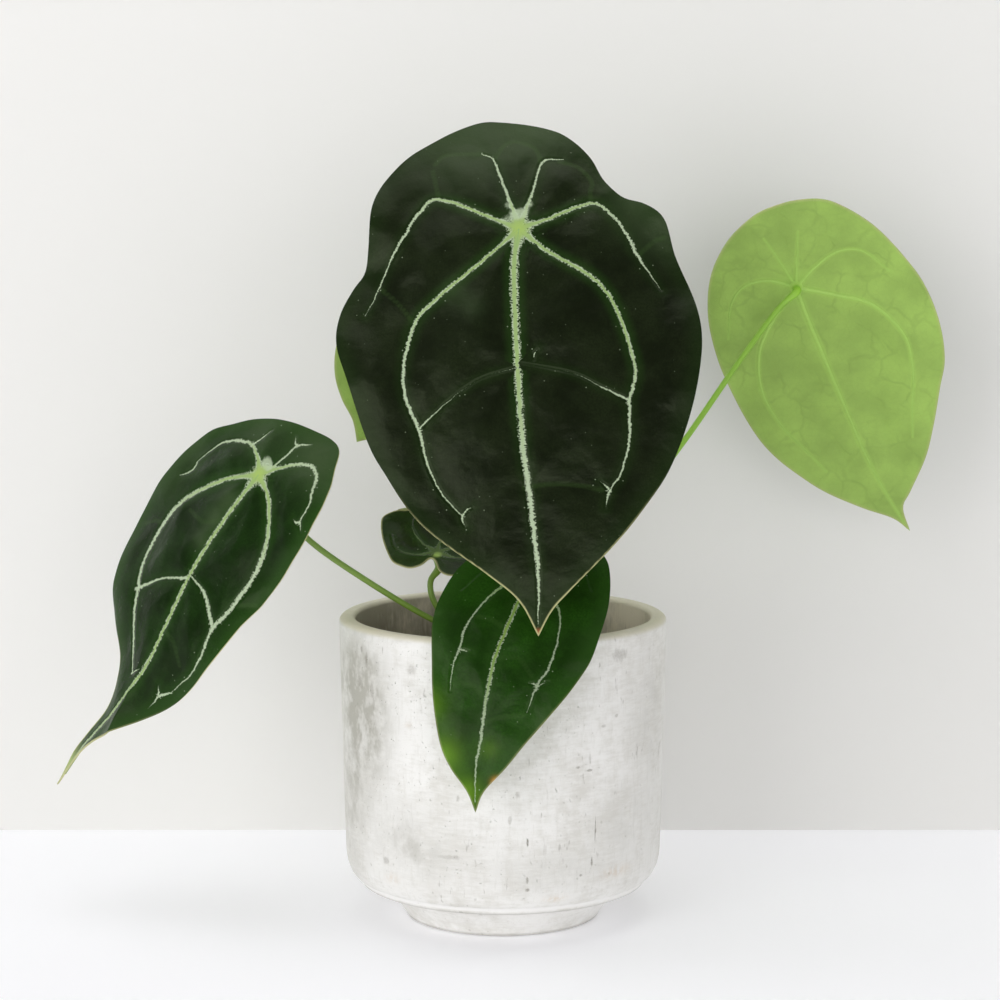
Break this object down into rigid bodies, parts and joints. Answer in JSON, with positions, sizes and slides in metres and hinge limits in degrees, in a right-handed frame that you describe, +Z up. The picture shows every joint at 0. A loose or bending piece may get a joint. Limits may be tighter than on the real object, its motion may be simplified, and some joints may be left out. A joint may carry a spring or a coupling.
{
  "type": "potted anthurium forgetii",
  "caption": "Potted Anthurium forgetii: peltate near-black leaves with silver veins on thin stalks, in a round whitewashed cement pot with a set-in foot.",
  "frame": {"origin": "centre of the pot's flat underside, which rests on the surface", "axes": "+Z up along the pot's axis; -Y is the side that the largest leaf faces; +X to the right of someone who looks at that side"},
  "size_m": [0.3893, 0.1727, 0.3377],
  "materials": {
    "cement": "matt whitewashed cement with grey and tan stains",
    "mix": "rough bark mix",
    "crown": "matt, papery",
    "stalk": "smooth, waxy",
    "leaf_dark": "velvety with a soft sheen",
    "leaf_green": "velvety with a soft sheen",
    "leaf_pale": "satin pale underside"
  },
  "bodies": {
    "root": {"pot": "cement", "potting_mix": "mix", "crown": "crown", "stalk_main": "stalk", "blade_main": "leaf_dark", "stalk_left": "stalk", "blade_left": "leaf_dark", "stalk_right": "stalk", "blade_right": "leaf_pale", "stalk_front": "stalk", "blade_front": "leaf_green", "stalk_small": "stalk", "blade_small": "leaf_dark", "stalk_rear": "stalk", "blade_rear": "leaf_pale"}
  },
  "joints": []
}
